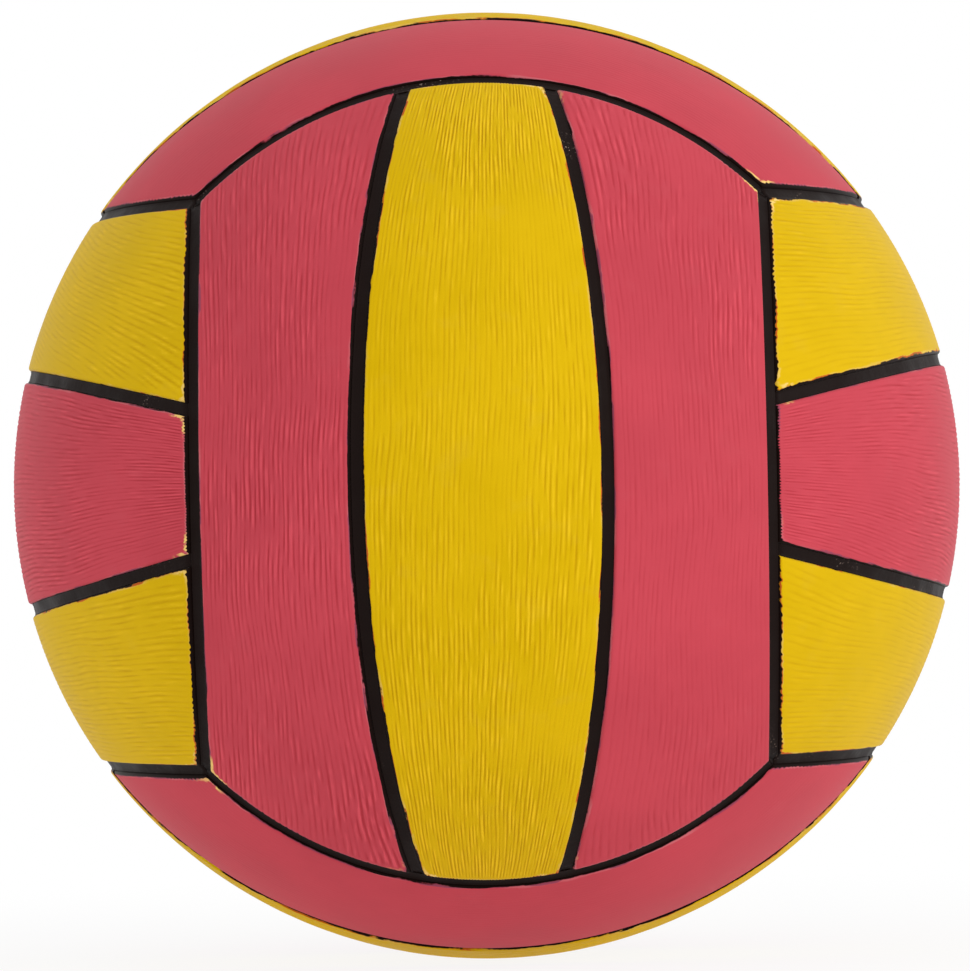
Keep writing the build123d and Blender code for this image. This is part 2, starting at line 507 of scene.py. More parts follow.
def underside_blocks(numbers, row_lines, column_lines):
    """Point numbers around each coarse block of a grid, with every grid point on the grid's border."""
    rows, columns = numbers.shape
    blocks = []
    for bottom, top in zip(row_lines, row_lines[1:]):
        for left, right in zip(column_lines, column_lines[1:]):
            row_step = {edge: 1 if edge in (0, columns - 1) else top - bottom for edge in (left, right)}
            column_step = {edge: 1 if edge in (0, rows - 1) else right - left for edge in (bottom, top)}
            loop = [numbers[bottom, i] for i in range(left, right, column_step[bottom])]
            loop += [numbers[j, right] for j in range(bottom, top, row_step[right])]
            loop += [numbers[top, i] for i in range(right, left, -column_step[top])]
            loop += [numbers[j, left] for j in range(top, bottom, -row_step[left])]
            blocks.append(loop)
    return blocks


def even_lines(count, blocks):
    """Indices that divide a row of points into about equal blocks."""
    return np.unique(np.linspace(0, count - 1, blocks + 1).round().astype(int)).tolist()


def with_neighbours(lines, open_lines):
    """The lines with every line that crosses the open block and the one on each side of it."""
    first, *_, last = np.flatnonzero(open_lines)
    return sorted({*lines, *range(first - 1, last + 2)})


def panel_faces(kept, row_lines, column_lines):
    """Faces of a closed panel: fine ones outside and on its walls, and coarse ones on its underside."""
    numbers = np.arange(kept.size).reshape(kept.shape)
    kept = kept.ravel()
    corners = (numbers[:-1, :-1], numbers[:-1, 1:], numbers[1:, 1:], numbers[1:, :-1])
    quads = np.stack(corners, axis=-1).reshape(-1, 4)
    quads = quads[kept[quads].all(axis=1)]
    start, stop = outer_edges(quads).T
    walls = np.stack((stop, start, start + kept.size, stop + kept.size), axis=-1)
    blocks = [
        [number + kept.size for number in reversed(loop)]
        for loop in underside_blocks(numbers, row_lines, column_lines)
        if kept[loop].all()
    ]
    return quads.tolist() + walls.tolist(), blocks


def panel_mesh(cover, name, place, turn, laps, with_valve):
    """A closed panel with a rounded rim, carried from the front to its face by the turn."""
    directions = panel_grid(cover, place)
    rows, columns = directions.shape[:2]
    kept = np.ones((rows, columns), dtype=bool)
    grip = np.ones((rows, columns))
    row_lines = even_lines(rows, round(rows * cover.cell_length / UNDERSIDE_CELL))
    column_lines = even_lines(columns, round(columns * cover.cell_width / UNDERSIDE_CELL))
    if with_valve:
        directions, kept = draw_in_around_valve(cover, directions)
        from_axis = cover.ball_radius * np.hypot(directions[..., 0], directions[..., 2])
        from_valve = from_axis - cover.valve_hole_radius
        grip = np.clip((from_valve - cover.valve_ring) / cover.edge_radius, 0, 1)
        row_lines = with_neighbours(row_lines, ~kept.all(axis=1))
        column_lines = with_neighbours(column_lines, ~kept.all(axis=0))
    walls = wall_distances(cover, place, directions)
    rim = walls.min(axis=0)
    lap = nearest_lap(walls, laps)
    corner = np.sort(walls, axis=0)[1]
    if with_valve:
        rim = np.minimum(rim, np.maximum(from_valve, 0))
        lap = np.where(rim < from_valve, lap, -cover.edge_radius)
    across, along = strip_coordinates(cover, place, directions)
    inset = np.maximum(cover.edge_radius - rim, 0)
    drop = cover.edge_radius - np.sqrt(cover.edge_radius**2 - inset**2)
    skin = directions * (cover.ball_radius - drop)[..., None]
    seat = directions * (cover.ball_radius - cover.cover_thickness)
    points = np.concatenate((skin.reshape(-1, 3), seat.reshape(-1, 3))) @ turn.T
    values = {
        "across": (across, across),
        "along": (along, along),
        "rim": (painted_rim(walls, rim), 0 * rim),
        "corner": (corner, corner),
        "lap": (lap, lap),
        "grip": (grip, 0 * grip),
    }
    values = {key: np.ravel(pair) for key, pair in values.items()}
    return closed_mesh(name, points, *panel_faces(kept, row_lines, column_lines), values)


def closed_mesh(name, points, smooth_faces, flat_faces, values):
    """A mesh of the points that its faces use, with a value at each point under each name."""
    faces = smooth_faces + flat_faces
    used = np.zeros(len(points), dtype=bool)
    used[np.concatenate([np.asarray(face) for face in faces])] = True
    renumbered = np.cumsum(used) - 1
    mesh = bpy.data.meshes.new(name)
    mesh.from_pydata(points[used].tolist(), [], [renumbered[face].tolist() for face in faces])
    smooth = np.arange(len(faces)) < len(smooth_faces)
    mesh.polygons.foreach_set("use_smooth", smooth)
    for key, value in values.items():
        attribute = mesh.attributes.new(key, "FLOAT", "POINT")
        attribute.data.foreach_set("value", value[used].astype(np.float32))
    mesh.update()
    return mesh


def grip_ridge_tree():
    """Geometry nodes that raise broken ridges along a panel from the values stored on its points."""
    tree = bpy.data.node_groups.new("Grip ridges", "GeometryNodeTree")
    sockets = tree.interface
    sockets.new_socket("Geometry", in_out="OUTPUT", socket_type="NodeSocketGeometry")
    sockets.new_socket("Geometry", in_out="INPUT", socket_type="NodeSocketGeometry")
    for name in (*RIDGE_SIZES, *LEFT_PLACES, "Lean", "Seed"):
        sockets.new_socket(name, in_out="INPUT", socket_type="NodeSocketFloat")
    sockets.new_socket("Material", in_out="INPUT", socket_type="NodeSocketMaterial")
    writer = NodeWriter(tree)
    given = writer.node("NodeGroupInput").outputs

    def stored(name):
        return writer.node("GeometryNodeInputNamedAttribute", {"Name": name}, data_type="FLOAT").outputs[0]

    along = stored("along")
    across = writer.total(stored("across"), writer.product(along, given["Lean"]))

    def swing(width, length, depth):
        place = writer.vector(
            writer.math("DIVIDE", across, width),
            writer.math("DIVIDE", along, length),
            writer.total(given["Seed"], depth),
        )
        return writer.swing(place)

    def pitches(count):
        return writer.product(given["Pitch"], count)

    def slivers(count):
        return writer.product(given["Sliver length"], count)

    stray = swing(given["Wander length"], given["Wander length"], STRAY_DEPTH)
    slip = swing(pitches(SLIP_WIDTH), slivers(SLIP_SLIVERS), SLIP_DEPTH)
    shake = swing(pitches(SHAKE_WIDTH), pitches(SHAKE_LENGTH), SHAKE_DEPTH)
    sideways = writer.total(
        across,
        writer.product(stray, given["Wander"]),
        writer.product(slip, pitches(SLIP_REACH)),
        writer.product(shake, pitches(SHAKE_REACH)),
    )
    turns = writer.math("DIVIDE", sideways, given["Pitch"])
    wave = writer.math("SINE", writer.product(turns, math.tau))
    groove = writer.math("POWER", writer.ramp(wave, 1.0, -1.0), GROOVE_POWER)
    profile = writer.math("MULTIPLY_ADD", groove, -GROOVE_DEPTH, RIDGE_TOP)
    unbroken = writer.ramp(swing(pitches(BREAK_WIDTH), given["Sliver length"], BREAK_DEPTH), *BREAK_STEP)
    grain = writer.product(swing(pitches(GRAIN_WIDTH), slivers(GRAIN_SLIVERS), GRAIN_DEPTH), GRAIN_SHARE)
    full = writer.product(writer.total(writer.product(profile, unbroken), grain), stored("grip"))
    left = given[LEFT_PLACES[0]]
    # Share of the ridges left along the panel, partly from wear and partly painted light on the ridges.
    for start, stop, place in zip(WEAR_AND_LIGHT_STATIONS, WEAR_AND_LIGHT_STATIONS[1:], LEFT_PLACES[1:]):
        left = writer.ramp(along, start, stop, left, given[place])
    patch = writer.ramp(swing(PATCH_WIDTH, PATCH_LENGTH, PATCH_DEPTH), *PATCH_STEP)
    left = writer.product(left, patch, writer.ramp(stored("rim"), *RIM_STEP))
    ridge = writer.product(full, left)
    fade = writer.ramp(stored("rim"), 0.0, given["Rim fade"])
    lift = writer.product(ridge, fade, given["Height"], 0.5)
    position = writer.node("GeometryNodeInputPosition").outputs[0]
    outwards = writer.node("ShaderNodeVectorMath", {0: position}, operation="NORMALIZE").outputs[0]
    offset = writer.node("ShaderNodeVectorMath", {0: outwards, "Scale": lift}, operation="SCALE").outputs[0]
    geometry = given["Geometry"]
    for name, value in (("ridge", ridge), ("tooth", full), ("left", left)):
        inputs = {"Geometry": geometry, "Name": name, "Value": value}
        store = writer.node("GeometryNodeStoreNamedAttribute", inputs, data_type="FLOAT", domain="POINT")
        geometry = store.outputs[0]
    geometry = writer.node("GeometryNodeSetPosition", {"Geometry": geometry, "Offset": offset}).outputs[0]
    geometry = writer.node("GeometryNodeRealizeInstances", {"Geometry": geometry}).outputs[0]
    inputs = {"Geometry": geometry, "Material": given["Material"]}
    geometry = writer.node("GeometryNodeSetMaterial", inputs).outputs[0]
    writer.node("NodeGroupOutput", {"Geometry": geometry})
    return tree


def run_tree(piece, tree, values):
    """Runs the tree on the piece once and leaves the result as its plain mesh."""
    modifier = piece.modifiers.new(tree.name, "NODES")
    modifier.node_group = tree
    for socket in tree.interface.items_tree:
        if socket.in_out == "INPUT" and socket.name in values:
            modifier[socket.identifier] = values[socket.name]
    depsgraph = bpy.context.evaluated_depsgraph_get()
    finished = bpy.data.meshes.new_from_object(
        piece.evaluated_get(depsgraph), preserve_all_data_layers=True, depsgraph=depsgraph
    )
    piece.modifiers.remove(modifier)
    plain = piece.data
    piece.data = finished
    bpy.data.meshes.remove(plain)
    finished.name = piece.name


def link_piece(mesh):
    """A new object at the origin for the mesh."""
    piece = bpy.data.objects.new(mesh.name, mesh)
    bpy.context.scene.collection.objects.link(piece)
    return piece


def stand_for(piece, node):
    """Puts the piece on the ball in the place of a CAD node."""
    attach(piece, "ball")
    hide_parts(node)


# Channel strips


def strip_mesh(cover, name, direction, half_turn, turn):
    """A closed strip swept along a circle; direction gives its line and half_turn where it ends."""
    half_width = cover.channel_width / 2 - cover.bond_gap
    hollow = half_width - cover.strip_lip
    offsets = np.concatenate((
        np.linspace(-half_width, -hollow, STRIP_POINTS),
        np.linspace(-hollow, hollow, STRIP_POINTS)[1:-1],
        np.linspace(hollow, half_width, STRIP_POINTS),
    ))
    slope = np.clip((half_width - np.abs(offsets)) / cover.strip_lip, 0, 1)
    seat = cover.ball_radius - cover.cover_thickness
    heights = seat + cover.strip_thickness - cover.strip_dish * eased(slope)
    top_columns = len(offsets) - 1
    offsets = np.append(offsets, (half_width, -half_width)) / cover.ball_radius
    heights = np.append(heights, (seat, seat))
    ends = half_turn(offsets)
    steps = max(2, round(2 * cover.ball_radius * ends.max() / cover.strip_cell))
    shares = np.linspace(-1, 1, steps + 1)[:, None]
    points = direction(shares * ends, np.broadcast_to(offsets, (steps + 1, len(offsets))))
    points = (points * heights[None, :, None]).reshape(-1, 3) @ turn.T
    numbers = np.arange(len(points)).reshape(steps + 1, len(offsets))
    beside = np.roll(numbers, -1, axis=1)
    sides = np.stack((numbers[:-1], beside[:-1], beside[1:], numbers[1:]), axis=-1)
    smooth = sides[:, :top_columns].reshape(-1, 4).tolist()
    flat = sides[:, top_columns:].reshape(-1, 4).tolist()
    flat += [numbers[0, ::-1].tolist(), numbers[-1].tolist()]
    return closed_mesh(name, points, smooth, flat, {})


def face_seam_line(cover, side):
    """Line and ends of the strip between the middle and a side panel of the front face."""
    half_middle = cover.middle_panel_angle / 2
    end = math.cos(CORNER_ANGLE - channel_half_angle(cover))
    ahead = np.array((side * math.sin(half_middle), -math.cos(half_middle), 0))
    square = np.array((math.cos(half_middle), side * math.sin(half_middle), 0))

    def direction(turn, offset):
        level = np.cos(turn)[..., None] * ahead + np.sin(turn)[..., None] * np.array((0, 0, 1))
        return np.cos(offset)[..., None] * level + np.sin(offset)[..., None] * square

    def half_turn(offset):
        level = end + side * np.sin(offset) * math.sin(half_middle)
        return np.arccos(level / np.cos(offset) / math.cos(half_middle))

    return direction, half_turn


def edge_seam_line(cover, side):
    """Line and mitred ends of the strip along one side of the front face."""
    mitres = np.array(((side, -1, -2), (-side, -2, -1))) / math.sqrt(6)
    half_gap = cover.bond_gap / 2 / cover.ball_radius

    def direction(turn, offset):
        opening = CORNER_ANGLE - side * offset
        level = np.stack((0 * turn, -np.cos(turn), np.sin(turn)), axis=-1)
        return np.sin(opening)[..., None] * level + np.cos(opening)[..., None] * np.array((side, 0, 0))

    def half_turn(offset):
        inside = np.full_like(offset, SHORTEST_HALF_SEAM)
        outside = np.full_like(offset, LONGEST_HALF_SEAM)
        for _ in range(BISECTIONS):
            middle = (inside + outside) / 2
            clear = (direction(middle, offset) @ mitres.T).min(axis=-1) > half_gap
            inside = np.where(clear, middle, inside)
            outside = np.where(clear, outside, middle)
        return inside

    return direction, half_turn


# Finishes

# Edge of the paint on the panels. It strays at three sizes, each a noise scale and a share of the wobble.
# A step has a start and a stop, and values there where they aren't 0 and 1; a cloud is a noise scale and
# its detail with a start and a stop.
PAINT_STRAYS = ((60.0, 1.0), (280.0, 0.9), (1200.0, 0.4))
UNSTEADY_STEP = (0.016, 0.004, 1.0, 1.7)
PAINT_STEP = (-0.00006, 0.00006)
FRINGE_STEP = (0.0001, -0.00006)
FRINGE_CLOUD = (110.0, 2.0, 0.44, 0.66)
FLECK_CORNER_STEP = (0.0055, 0.003)
FLECK_EDGE_STEP = (0.0008, 0.0004)
FLECK_CLOUD = (40.0, 1.0, 0.49, 0.57)
FLECK_GRAIN_CLOUD = (700.0, 3.0, 0.4, 0.52)
# Painted highlight along the rounded rim where no paint lies.
RIM_HIGHLIGHT_STEP = (0.0005, 0.0001)
RIM_HIGHLIGHT_CLOUD = (70.0, 2.0, 0.4, 0.6)

# Tone of moulded rubber.
TONE_DETAIL = 4.0
TONE_STEP = (0.3, 0.7)
GRAIN_DETAIL = 3.0
SCUFF_CLOUD = (130.0, 6.0, 0.56, 0.74)

# Grip rubber. A tint is a factor for the colour and the white in it; a bump is its strength and its depth.
PANEL_TONE_SIZE = 0.03
PANEL_GRAIN_SIZE = 0.0006
YELLOW_UNSTEADINESS = 1.3
CORAL_UNSTEADINESS = 0.7
STREAK_WIDTH = 0.0005
STREAK_LENGTH = 0.007
STREAK_SHARE = 0.5
MOTTLE_SCALE = 170.0
MOTTLE_SHARE = 0.08
DULL_TINT = (0.905, 0.0)
CLEAN_TINT = (0.985, 0.002)
# Painted shade in the ridges' grooves: where it starts and stops, the light left there and how rich it turns.
GROOVE_SHADE_STEP = (0.1, -0.9, 0.0, 0.6)
GROOVE_LIGHT = 0.65
GROOVE_RICHNESS = 0.5
# Painted highlight on the ridges' tops.
TOP_HIGHLIGHT_STEP = (0.1, 0.6, 0.0, 0.9)
TOP_HIGHLIGHT_TINT = (1.18, 0.012)
SCUFF_SHARE = 0.02
SCUFF_TINT = (0.5, 0.2)
# Painted highlight on the unpainted rounded rim.
RIM_HIGHLIGHT_SHARE = 0.6
RIM_HIGHLIGHT_TINT = (0.85, 0.15)
PANEL_ROUGHNESS = (0.5, 0.6)
PAINT_ROUGHNESS = 0.42
PANEL_GLOSS = {"Specular IOR Level": 0.03, "Sheen Weight": 0.05, "Sheen Roughness": 0.45}
PANEL_GRAIN_SHARE = 0.3
PAINT_SHARE = 0.5
PANEL_BUMP = (0.6, 0.00008)

# Channel strips.
STRIP_TONE_SIZE = 0.008
STRIP_GRAIN_SIZE = 0.0012
DUST_CLOUD = (45.0, 2.0, 0.6, 0.75)
DUST_GRAIN_CLOUD = (1900.0, 3.0, 0.62, 0.72)
DUST_ROUGHNESS = 0.3
STRIP_ROUGHNESS = (0.45, 0.6)
STRIP_GLOSS = {"Specular IOR Level": 0.08}
STRIP_TONE_SHARE = 2.0
STRIP_BUMP = (0.35, 0.0002)

# Rubber of the valve and of the inner layers: name, colour, roughness and grain size.
PLAIN_RUBBERS = {
    "valve_housing": ("Valve housing rubber", linear(34, 33, 35), 0.48, 0.0008),
    "valve_plug": ("Valve plug rubber", linear(46, 45, 47), 0.55, 0.0005),
    "carcass": ("Carcass rubber", linear(62, 60, 60), 0.7, 0.0015),
    "bladder": ("Bladder rubber", linear(48, 47, 50), 0.5, 0.003),
}
PLAIN_TONE_SIZE = 0.012
PLAIN_TINT = (1.5, 0.004)
ROUGHNESS_SPREAD = 0.06
PLAIN_GLOSS = {"Specular IOR Level": 0.2}
PLAIN_BUMP = (0.4, 0.0001)

# Thread winding.
THREAD_TURNS = ((0.3, 0.0, 0.4), (1.2, 0.7, 0.0), (0.0, 1.1, 1.9))
THREAD_WAVE = {"Scale": 420.0, "Distortion": 1.2, "Detail": 1.0}
THREAD_SHADE = linear(150, 140, 122)
THREAD_LIGHT = linear(232, 226, 210)
THREAD_ROUGHNESS = 0.8
THREAD_BUMP = (0.8, 0.0002)


def tinted(colour, factor, white):
    """The colour made darker or lighter, with some white in it, as a colour socket takes it."""
    return opaque(min(1.0, factor * value + white) for value in colour)


def deepened(colour):
    """The colour as light leaves it that bounces between the sides of a groove."""
    richest = max(colour)
    plain = 1 - GROOVE_RICHNESS
    return opaque(GROOVE_LIGHT * value * (plain + GROOVE_RICHNESS * value / richest) for value in colour)


def object_place(writer):
    """The place on the object, in metres from its origin."""
    return writer.node("ShaderNodeTexCoord").outputs["Object"]


def shader_group(name, inputs, outputs):
    """An empty shader node group with float inputs and outputs, its writer and its given values."""
    tree = bpy.data.node_groups.new(name, "ShaderNodeTree")
    for socket in inputs:
        tree.interface.new_socket(socket, in_out="INPUT", socket_type="NodeSocketFloat")
    for socket in outputs:
        tree.interface.new_socket(socket, in_out="OUTPUT", socket_type="NodeSocketFloat")
    writer = NodeWriter(tree)
    return writer, writer.node("NodeGroupInput").outputs


def paint_lap_group(name):
    """Where black paint laps onto a panel's rim, the stain beside it and pale flecks at the corners."""
    writer, given = shader_group(
        name,
        ("Rim", "Corner", "Lap", "Tooth wave", "Wobble", "Tooth", "Fringe"),
        ("Paint", "Fringe", "Fleck", "Rim highlight"),
    )
    place = object_place(writer)
    strays = [writer.product(writer.swing(place, scale), share) for scale, share in PAINT_STRAYS]
    unsteady = writer.ramp(given["Corner"], *UNSTEADY_STEP)
    edge = writer.total(given["Lap"], writer.product(writer.total(*strays), unsteady, given["Wobble"]))
    edge = writer.math("SUBTRACT", edge, writer.product(given["Tooth wave"], given["Tooth"]))
    beyond = writer.math("SUBTRACT", given["Rim"], edge)
    bare = writer.ramp(beyond, *PAINT_STEP)
    reach = writer.product(writer.cloud(place, *FRINGE_CLOUD), given["Fringe"])
    fringe = writer.product(writer.ramp(writer.math("SUBTRACT", beyond, reach), *FRINGE_STEP), bare)
    fleck = writer.product(
        writer.ramp(given["Corner"], *FLECK_CORNER_STEP),
        writer.cloud(place, *FLECK_CLOUD),
        writer.cloud(place, *FLECK_GRAIN_CLOUD),
        writer.ramp(beyond, *FLECK_EDGE_STEP),
        bare,
    )
    # Painted highlight along the rounded rim beyond the paint.
    rim_highlight = writer.product(writer.ramp(beyond, *RIM_HIGHLIGHT_STEP), writer.cloud(place, *RIM_HIGHLIGHT_CLOUD))
    paint = writer.math("SUBTRACT", 1.0, bare)
    writer.node("NodeGroupOutput", {"Paint": paint, "Fringe": fringe, "Fleck": fleck, "Rim highlight": rim_highlight})
    return writer.tree


def rubber_tone_group(name):
    """Slow tone, scuffed patches and fine grain of moulded rubber."""
    writer, given = shader_group(name, ("Tone size", "Grain size"), ("Tone", "Scuff", "Grain"))
    place = object_place(writer)
    tone = writer.noise(place, writer.math("DIVIDE", 1.0, given["Tone size"]), TONE_DETAIL)
    scuff = writer.cloud(place, *SCUFF_CLOUD)
    grain = writer.noise(place, writer.math("DIVIDE", 1.0, given["Grain size"]), GRAIN_DETAIL)
    writer.node("NodeGroupOutput", {"Tone": tone, "Scuff": scuff, "Grain": grain})
    return writer.tree


def placed_group(writer, name, build, inputs):
    """The outputs of a node group that is built on first use and placed in a material."""
    tree = bpy.data.node_groups.get(name) or build(name)
    return writer.node("ShaderNodeGroup", inputs, node_tree=tree).outputs


def rubber_tone(writer, tone_size, grain_size):
    """The tone, scuff and grain of moulded rubber in a material."""
    inputs = {"Tone size": tone_size, "Grain size": grain_size}
    return placed_group(writer, "Rubber tone", rubber_tone_group, inputs)


def new_material(name):
    """An empty material, its node writer and its Principled shader."""
    material = bpy.data.materials.new(name)
    material.use_nodes = True
    writer = NodeWriter(material.node_tree)
    return material, writer, material.node_tree.nodes["Principled BSDF"]


def set_surface(writer, shader, inputs, height, strength, depth):
    """Feeds the shader's inputs, and its normal from a fine relief."""
    bump = writer.node("ShaderNodeBump", {"Strength": strength, "Distance": depth, "Height": height})
    for key, value in {**inputs, "Normal": bump.outputs[0]}.items():
        writer.feed(shader.inputs[key], value)


def panel_rubber(name, colour, stain, unsteadiness, paint):
    """Satin grip rubber with black paint lapped onto its rim."""
    material, writer, shader = new_material(name)

    def stored(key):
        return writer.node("ShaderNodeAttribute", attribute_name=key).outputs["Fac"]

    lap = placed_group(writer, "Paint lap", paint_lap_group, {
        "Rim": stored("rim"),
        "Corner": stored("corner"),
        "Lap": stored("lap"),
        "Tooth wave": stored("tooth"),
        "Wobble": paint.wobble * unsteadiness,
        "Tooth": paint.tooth,
        "Fringe": paint.fringe,
    })
    tone = rubber_tone(writer, PANEL_TONE_SIZE, PANEL_GRAIN_SIZE)
    streak_place = writer.vector(
        writer.math("DIVIDE", stored("across"), STREAK_WIDTH),
        writer.math("DIVIDE", stored("along"), STREAK_LENGTH),
        0.0,
    )
    streak = writer.product(writer.swing(streak_place, 1.0, 2.0), stored("left"))
    mottle = writer.product(writer.swing(object_place(writer), MOTTLE_SCALE, 2.0), MOTTLE_SHARE)
    relief = writer.total(stored("ridge"), writer.product(streak, STREAK_SHARE))
    base = writer.mix_colour(
        writer.ramp(writer.total(tone["Tone"], mottle), *TONE_STEP),
        tinted(colour, *DULL_TINT),
        tinted(colour, *CLEAN_TINT),
    )
    coats = (
        # Painted shade in the grooves between the ridges.
        (writer.ramp(relief, *GROOVE_SHADE_STEP), deepened(colour)),
        # Painted highlight on the ridge tops.
        (writer.ramp(relief, *TOP_HIGHLIGHT_STEP), tinted(colour, *TOP_HIGHLIGHT_TINT)),
        (writer.product(tone["Scuff"], SCUFF_SHARE), tinted(colour, *SCUFF_TINT)),
        # Painted highlight on the rounded rim.
        (writer.product(lap["Rim highlight"], RIM_HIGHLIGHT_SHARE), tinted(colour, *RIM_HIGHLIGHT_TINT)),
        (lap["Fringe"], opaque(stain)),
        (lap["Fleck"], opaque(paint.fleck)),
        (lap["Paint"], opaque(paint.black)),
    )
    for share, coat in coats:
        base = writer.mix_colour(share, base, coat)
    roughness = writer.ramp(tone["Tone"], *TONE_STEP, *PANEL_ROUGHNESS)
    roughness = writer.ramp(lap["Paint"], 0.0, 1.0, roughness, PAINT_ROUGHNESS)
    height = writer.total(
        writer.product(streak, STREAK_SHARE),
        writer.product(tone["Grain"], PANEL_GRAIN_SHARE),
        writer.product(lap["Paint"], PAINT_SHARE),
    )
    surface = {"Base Color": base, "Roughness": roughness, **PANEL_GLOSS}
    set_surface(writer, shader, surface, height, *PANEL_BUMP)
    return material


def strip_rubber(name, paint):
    """Black rubber of the channel strips with dry dust in places."""
    material, writer, shader = new_material(name)
    tone = rubber_tone(writer, STRIP_TONE_SIZE, STRIP_GRAIN_SIZE)
    place = object_place(writer)
    dusty = writer.product(writer.cloud(place, *DUST_GRAIN_CLOUD), writer.cloud(place, *DUST_CLOUD))
    base = writer.mix_colour(dusty, opaque(paint.black), opaque(paint.dust))
    roughness = writer.ramp(tone["Tone"], *TONE_STEP, *STRIP_ROUGHNESS)
    roughness = writer.total(roughness, writer.product(dusty, DUST_ROUGHNESS))
    height = writer.total(tone["Grain"], writer.product(tone["Tone"], STRIP_TONE_SHARE))
    surface = {"Base Color": base, "Roughness": roughness, **STRIP_GLOSS}
    set_surface(writer, shader, surface, height, *STRIP_BUMP)
    return material


def plain_rubber(name, colour, roughness, grain_size):
    """Moulded rubber of the inner layers and the valve."""
    material, writer, shader = new_material(name)
    tone = rubber_tone(writer, PLAIN_TONE_SIZE, grain_size)
    share = writer.ramp(tone["Tone"], *TONE_STEP)
    base = writer.mix_colour(share, opaque(colour), tinted(colour, *PLAIN_TINT))
    smoother = roughness - ROUGHNESS_SPREAD
    rougher = roughness + ROUGHNESS_SPREAD
    uneven = writer.ramp(tone["Tone"], *TONE_STEP, smoother, rougher)
    surface = {"Base Color": base, "Roughness": uneven, **PLAIN_GLOSS}
    set_surface(writer, shader, surface, tone["Grain"], *PLAIN_BUMP)
    return material


def wound_thread(name):
    """Pale thread wound round the bladder in crossing turns."""
    material, writer, shader = new_material(name)
    place = object_place(writer)

    def turns(rotation):
        turned = writer.node("ShaderNodeMapping", {"Vector": place, "Rotation": rotation}).outputs[0]
        inputs = {"Vector": turned, **THREAD_WAVE}
        return writer.node("ShaderNodeTexWave", inputs, wave_type="BANDS").outputs[1]

    lay = writer.largest(*map(turns, THREAD_TURNS))
    base = writer.mix_colour(lay, opaque(THREAD_SHADE), opaque(THREAD_LIGHT))
    surface = {"Base Color": base, "Roughness": THREAD_ROUGHNESS}
    set_surface(writer, shader, surface, lay, *THREAD_BUMP)
    return material


def finish_node(node, material):
    """Gives a CAD node its finish."""
    for slot in frame["nodes"][node].material_slots:
        slot.material = material


# Stage

WHITE = (1.0, 1.0, 1.0, 1.0)
FLOOR_PALE = (0.9, 0.9, 0.9, 1.0)
FLOOR_FADE = (0.12, 0.42, 0.88, 1.0)
FLOOR_GLOW = 0.5
LAMP_SIZE = 0.9
LAMP_PLACE = (1.3, -1.0, 0.55)
CAMERA_REACH = 100


def seen_directly(writer):
    """1 for rays from the camera and for rays that show the surroundings in gloss or glass."""
    path = writer.node("ShaderNodeLightPath").outputs
    return writer.largest(path["Is Camera Ray"], path["Is Glossy Ray"], path["Is Transmission Ray"])


def make_floor(level, size):
    """A pale floor under the ball that keeps its shadow."""
    half = size / 2
    corners = ((-half, -half), (half, -half), (half, half), (-half, half))
    mesh = bpy.data.meshes.new("studio_floor")
    mesh.from_pydata([(x, y, level) for x, y in corners], [], [(0, 1, 2, 3)])
    material, writer, shader = new_material("Studio floor")
    material.node_tree.nodes.remove(shader)
    pale = writer.node("ShaderNodeBsdfDiffuse", {"Color": FLOOR_PALE})
    white = writer.node("ShaderNodeEmission", {"Color": WHITE, "Strength": 1.0})
    away = writer.node("ShaderNodeVectorMath", {0: object_place(writer)}, operation="LENGTH").outputs["Value"]
    seen = writer.product(seen_directly(writer), writer.ramp(away, *FLOOR_FADE))
    share = writer.largest(seen, FLOOR_GLOW)
    mixed = writer.node("ShaderNodeMixShader", {0: share, 1: pale.outputs[0], 2: white.outputs[0]})
    writer.feed(material.node_tree.nodes["Material Output"].inputs["Surface"], mixed.outputs[0])
    mesh.materials.append(material)
    floor = link_piece(mesh)
    floor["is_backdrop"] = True


def make_light(scene, stage):
    """Even light from all around and one soft lamp on the right."""
    world = bpy.data.worlds.new("Studio light")
    world.use_nodes = True
    writer = NodeWriter(world.node_tree)
    background = world.node_tree.nodes["Background"]
    background.inputs["Color"].default_value = WHITE
    strength = writer.ramp(seen_directly(writer), 0.0, 1.0, stage.sky_strength, 1.0)
    writer.feed(background.inputs["Strength"], strength)
    scene.world = world
    lamp = bpy.data.lights.new("Key lamp", "AREA")
    lamp.shape = "DISK"
    lamp.size = LAMP_SIZE
    lamp.energy = stage.key_power
    place = Vector(LAMP_PLACE)
    key = bpy.data.objects.new("Key lamp", lamp)
    key.matrix_world = Matrix.Translation(place) @ place.to_track_quat("Z", "Y").to_matrix().to_4x4()
    scene.collection.objects.link(key)


def make_camera(scene, stage):
    """The camera at the photograph's viewing angle."""
    lens = bpy.data.cameras.new("Camera")
    lens.lens = stage.lens
    lens.clip_end = CAMERA_REACH
    camera = bpy.data.objects.new("Camera", lens)
    turn = Euler(stage.camera_turn).to_matrix().to_4x4()
    step_back = Matrix.Translation((stage.camera_offset, -stage.camera_distance, 0))
    camera.matrix_world = turn @ step_back @ Matrix.Rotation(math.pi / 2, 4, "X")
    scene.collection.objects.link(camera)
    scene.camera = camera


# Operators


